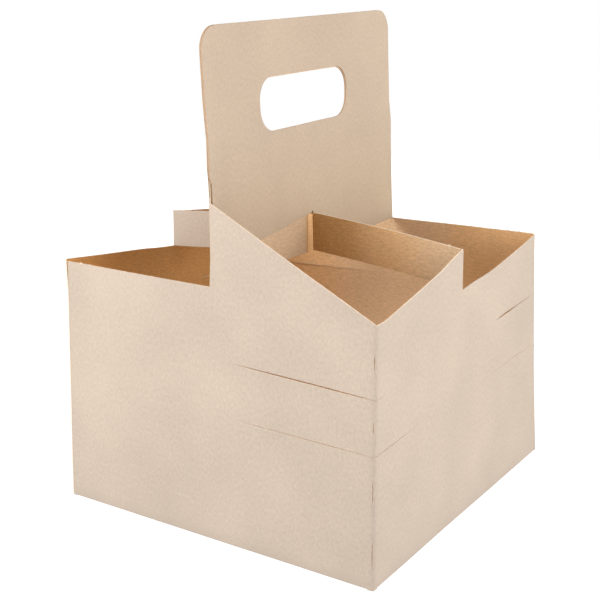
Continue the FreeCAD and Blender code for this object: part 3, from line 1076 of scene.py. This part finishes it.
class GeometryTree(NodeMaker):
    """Makes one Geometry Nodes tree, with named inputs."""

    def __init__(self, name):
        super().__init__(bpy.data.node_groups.new(name, "GeometryNodeTree"))
        for way in ("INPUT", "OUTPUT"):
            self.tree.interface.new_socket("Geometry", in_out=way, socket_type="NodeSocketGeometry")
        self.keys = {}
        self.inputs = self.tree.nodes.new("NodeGroupInput")
        self.outputs = self.tree.nodes.new("NodeGroupOutput")

    def input(self, name, kind, value):
        """A named input with its value."""
        socket = self.tree.interface.new_socket(name, in_out="INPUT", socket_type=kind)
        self.keys[socket.identifier] = value
        return self.inputs.outputs[name]

    def random(self, kind, low, high, seed):
        """Random numbers or vectors between two limits."""
        return self.node("FunctionNodeRandomValue", {"data_type": kind},
                         {"Min": low, "Max": high, "Seed": seed})

    def scatter(self, points, instance, turn, scale, material):
        """Places the instance on the points, realizes it, sets its material and links the output."""
        placed = self.node("GeometryNodeInstanceOnPoints", {},
                           {"Points": points, "Instance": instance, "Rotation": turn, "Scale": scale})
        real = self.node("GeometryNodeRealizeInstances", {}, {"Geometry": placed.outputs[0]})
        done = self.node("GeometryNodeSetMaterial", {}, {"Geometry": real.outputs[0], "Material": material})
        self.tree.links.new(done.outputs[0], self.outputs.inputs["Geometry"])

    def apply(self, made):
        """Runs the tree on an object and leaves the result as its plain mesh."""
        modifier = made.modifiers.new("Nodes", "NODES")
        modifier.node_group = self.tree
        for key, value in self.keys.items():
            modifier[key] = value
        keep_result(made, modifier)


def nick_tree(trim, material):
    """Small torn lumps at given places, where bridges held the blank in its sheet."""
    make = GeometryTree("nicks")
    size = make.input("Nick size", "NodeSocketFloat", trim.nick_size)
    seed = make.input("Seed", "NodeSocketInt", trim.nick_seed)
    ball = make.node("GeometryNodeMeshIcoSphere", {}, {"Radius": 0.5, "Subdivisions": 2})
    rough = make.node("ShaderNodeTexNoise", {}, {"Scale": 1.9, "Detail": 2.0})
    away = make.vector_math("SUBTRACT", {0: rough.outputs["Color"], 1: (0.5, 0.5, 0.5)})
    torn = make.node("GeometryNodeSetPosition", {}, {"Geometry": ball.outputs["Mesh"], "Offset": away})
    spread = make.random("FLOAT_VECTOR", (0.7, 0.7, 0.6), (1.3, 0.9, 1.1), seed).outputs[0]
    scale = make.vector_math("SCALE", {0: spread, "Scale": size})
    turn = make.random("FLOAT_VECTOR", (-0.3, -0.3, -0.3), (0.3, 0.3, 0.3), seed).outputs[0]
    make.scatter(make.inputs.outputs["Geometry"], torn.outputs[0], turn, scale, material)
    return make


def fibre_tree(trim, material):
    """Stray fibres that stand off the cut edges."""
    make = GeometryTree("edge_fibres")
    length_in = make.input("Fibre length", "NodeSocketFloat", trim.fibre_length)
    width_in = make.input("Fibre width", "NodeSocketFloat", trim.fibre_width)
    density = make.input("Density", "NodeSocketFloat", trim.fibres_per_mm2 / MM / MM)
    seed = make.input("Seed", "NodeSocketInt", trim.fibre_seed)
    cone = make.node("GeometryNodeMeshCone", {"fill_type": "NONE"},
                     {"Vertices": 3, "Radius Top": 0.15, "Radius Bottom": 0.5, "Depth": 1.0})
    size = make.node("ShaderNodeCombineXYZ", {}, {"X": width_in, "Y": width_in, "Z": length_in})
    points = make.node("GeometryNodeDistributePointsOnFaces", {},
                       {"Mesh": make.inputs.outputs["Geometry"], "Density": density, "Seed": seed})
    tilt = make.random("FLOAT_VECTOR", (-0.9, -0.9, -0.9), (0.9, 0.9, 0.9), seed).outputs[0]
    leaning = make.vector_math("ADD", {0: points.outputs["Normal"], 1: tilt})
    turn = make.node("FunctionNodeAlignRotationToVector", {"axis": "Z"}, {"Vector": leaning})
    vary = make.random("FLOAT", 0.3, 1.0, seed).outputs[1]
    scale = make.vector_math("SCALE", {0: size.outputs[0], "Scale": vary})
    make.scatter(points.outputs["Points"], cone.outputs["Mesh"], turn.outputs[0], scale, material)
    return make


def keep(piece):
    """Says what the piece rides on."""
    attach(piece, "root")


class CARRIER_OT_sheet(bpy.types.Operator):
    """Fold the sheet: sleeve, handle plies, dividers and bottom"""
    bl_idname = "carrier.sheet"
    bl_label = "Folded sheet"

    def execute(self, context):
        sizes = context.scene.carrier_sheet
        sheet = Sheet()
        along = lay_sleeve(sheet)
        sleeve = sleeve_path(sizes)
        for turned in (False, True):
            lay_ply(sheet, sizes, turned)
            lay_divider(sheet, sizes, turned)
            lay_bottom_flap(sheet, sizes, along, sleeve, turned)
            lay_side_flap(sheet, sizes, along, sleeve, turned)
        made = sheet.finish("folded_sheet")
        for material in board_materials():
            made.data.materials.append(material)
        thicken(made, sizes)
        keep(made)
        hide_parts("carrier")
        return {"FINISHED"}


class CARRIER_OT_nicks(bpy.types.Operator):
    """Add the torn nicks along the rims and dividers"""
    bl_idname = "carrier.nicks"
    bl_label = "Nicks"

    def execute(self, context):
        sizes = context.scene.carrier_sheet
        trim = context.scene.carrier_trim
        board = sizes.board
        level = sizes.wall_height
        inset = HALF - board / 2
        root, notch = level - sizes.divider_sag, level - sizes.notch_drop
        first, second, divider_part = -93 * MM, -86 * MM, 0.91
        divider_y = (sizes.divider_offset + board / 2) * (1 - 2 * divider_part)
        divider_z = root + (notch - root) * divider_part + sizes.divider_depth
        places = []
        for turned in (False, True):
            for where in ((first, -inset, level), (second, -inset, level),
                          (HALF * divider_part, divider_y, divider_z)):
                places.append(settle(half_turn(where, turned)))
        mesh = bmesh.new()
        for place in places:
            mesh.verts.new(place)
        made = make_object("torn_nicks", mesh)
        nick_tree(trim, board_materials()[2]).apply(made)
        keep(made)
        return {"FINISHED"}


class CARRIER_OT_fibres(bpy.types.Operator):
    """Add stray fibres along the cut edges"""
    bl_idname = "carrier.fibres"
    bl_label = "Edge fibres"

    def execute(self, context):
        cut = 2
        mesh = bmesh.new()
        mesh.from_mesh(bpy.data.objects["folded_sheet"].data)
        others = [face for face in mesh.faces if face.material_index != cut]
        bmesh.ops.delete(mesh, geom=others, context="FACES")
        made = make_object("edge_fibres", mesh)
        fibre_tree(context.scene.carrier_trim, board_materials()[cut]).apply(made)
        keep(made)
        return {"FINISHED"}


class CARRIER_OT_stage(bpy.types.Operator):
    """Set up the floor, the lights and the camera"""
    bl_idname = "carrier.stage"
    bl_label = "Stage"

    def execute(self, context):
        make_floor(context.scene.carrier_colours)
        make_lights()
        make_camera()
        return {"FINISHED"}


def make_floor(colours):
    """A white floor under the carrier that glows a little, as a lit sweep of paper does."""
    floor_radius, below = 1.6, 0.4 * MM
    mesh = bmesh.new()
    bmesh.ops.create_circle(mesh, cap_ends=True, segments=96, radius=floor_radius)
    floor = make_object("floor", mesh)
    floor.data.transform(Matrix.Translation((0, 0, -below)))
    make = Shader("floor")
    make.paint(Base_Color=(*colours.floor, 1), Roughness=0.9, Emission_Color=(1, 1, 1, 1),
               Emission_Strength=0.97)
    floor.data.materials.append(make.material)


def add_area(name, place, target, size, watts):
    """A square soft light that looks at a target."""
    data = bpy.data.lights.new(name, "AREA")
    data.shape = "SQUARE"
    data.size = size
    data.energy = watts
    light = bpy.data.objects.new(name, data)
    light.location = place
    light.rotation_euler = (Vector(target) - Vector(place)).to_track_quat("-Z", "Y").to_euler()
    bpy.context.scene.collection.objects.link(light)


def make_world(dome):
    """A surround that is white level with the floor and dimmer overhead."""
    world = bpy.data.worlds.new("surround")
    bpy.context.scene.world = world
    world.use_nodes = True
    make = NodeMaker(world.node_tree)
    direction = make.node("ShaderNodeTexCoord").outputs["Generated"]
    upward = make.node("ShaderNodeSeparateXYZ", {}, {0: direction}).outputs["Z"]
    fade = make.node("ShaderNodeMapRange", {}, {"Value": upward, "From Min": 0.0, "From Max": 0.35,
                                                "To Min": 1.0, "To Max": dome})
    background = world.node_tree.nodes["Background"]
    make.feed(background.inputs["Strength"], fade.outputs["Result"])
    make.feed(background.inputs["Color"], (1, 1, 1, 1))


def make_lights():
    """The surround, and broad soft lights from both sides of the camera, behind and above."""
    make_world(dome=0.0)
    middle = (0, 0, 0.09)
    for name, place, size, watts in (
        ("left_light", (-0.45, -0.95, 0.5), 0.5, 9.4),
        ("front_light", (-0.2, -0.75, 0.42), 0.35, 2.2),
        ("right_light", (0.85, -0.15, 0.45), 0.5, 3.2),
        ("low_right_light", (0.75, 0.1, 0.22), 0.3, 3.4),
        ("back_light", (-0.35, 0.95, 0.45), 0.6, 9.0),
        ("top_light", (0.1, -0.2, 1.0), 0.6, 5.8),
    ):
        add_area(name, place, middle, size, watts)
    bpy.context.scene.view_settings.view_transform = "Standard"


def make_camera():
    """The photograph's view."""
    frame_px = 600
    focal_px = 1269.8
    axis_row = 240
    yaw, pitch, roll = math.radians(32.5), math.radians(14.01), math.radians(-0.2)
    place = Vector((0.4015, -0.6426, 0.3434))
    data = bpy.data.cameras.new("photo_view")
    data.sensor_width = 36
    data.lens = focal_px / frame_px * data.sensor_width
    data.shift_y = (axis_row - frame_px / 2) / frame_px
    camera = bpy.data.objects.new("photo_view", data)
    forward = Vector((-math.sin(yaw) * math.cos(pitch), math.cos(yaw) * math.cos(pitch), -math.sin(pitch)))
    right = Vector((math.cos(yaw), math.sin(yaw), 0))
    up = right.cross(forward)
    turned_right = right * math.cos(roll) + up * math.sin(roll)
    turned_up = up * math.cos(roll) - right * math.sin(roll)
    axes = Matrix((turned_right, turned_up, -forward)).transposed()
    camera.matrix_world = Matrix.Translation(place) @ axes.to_4x4()
    bpy.context.scene.collection.objects.link(camera)
    bpy.context.scene.camera = camera


class CARRIER_PT_panel(bpy.types.Panel):
    """Lists the carrier's pieces and sizes"""
    bl_idname = "CARRIER_PT_panel"
    bl_label = "Cup carrier"
    bl_space_type = "VIEW_3D"
    bl_region_type = "UI"
    bl_category = "Carrier"

    def draw(self, context):
        layout = self.layout
        for operator in STEPS:
            layout.operator(operator)
        for group in GROUPS:
            owner = getattr(context.scene, group)
            for name in owner.__annotations__:
                layout.prop(owner, name)


STEPS = ("carrier.sheet", "carrier.nicks", "carrier.fibres", "carrier.stage")
GROUPS = {
    "carrier_sheet": SheetSizes,
    "carrier_settle": SettleSizes,
    "carrier_trim": TrimSizes,
    "carrier_colours": BoardColours,
}
CLASSES = (*GROUPS.values(), CARRIER_OT_sheet, CARRIER_OT_nicks, CARRIER_OT_fibres, CARRIER_OT_stage,
           CARRIER_PT_panel)


def register():
    """Registers the add-on's classes and its groups of sizes."""
    for item in CLASSES:
        bpy.utils.register_class(item)
    for name, group in GROUPS.items():
        setattr(bpy.types.Scene, name, PointerProperty(type=group))


def unregister():
    """Takes back what register does."""
    for name in GROUPS:
        delattr(bpy.types.Scene, name)
    for item in reversed(CLASSES):
        bpy.utils.unregister_class(item)


def main():
    """Builds the pieces and the stage."""
    register()
    bpy.ops.carrier.sheet()
    bpy.ops.carrier.nicks()
    bpy.ops.carrier.fibres()
    bpy.ops.carrier.stage()


if __name__ == "__main__":
    main()
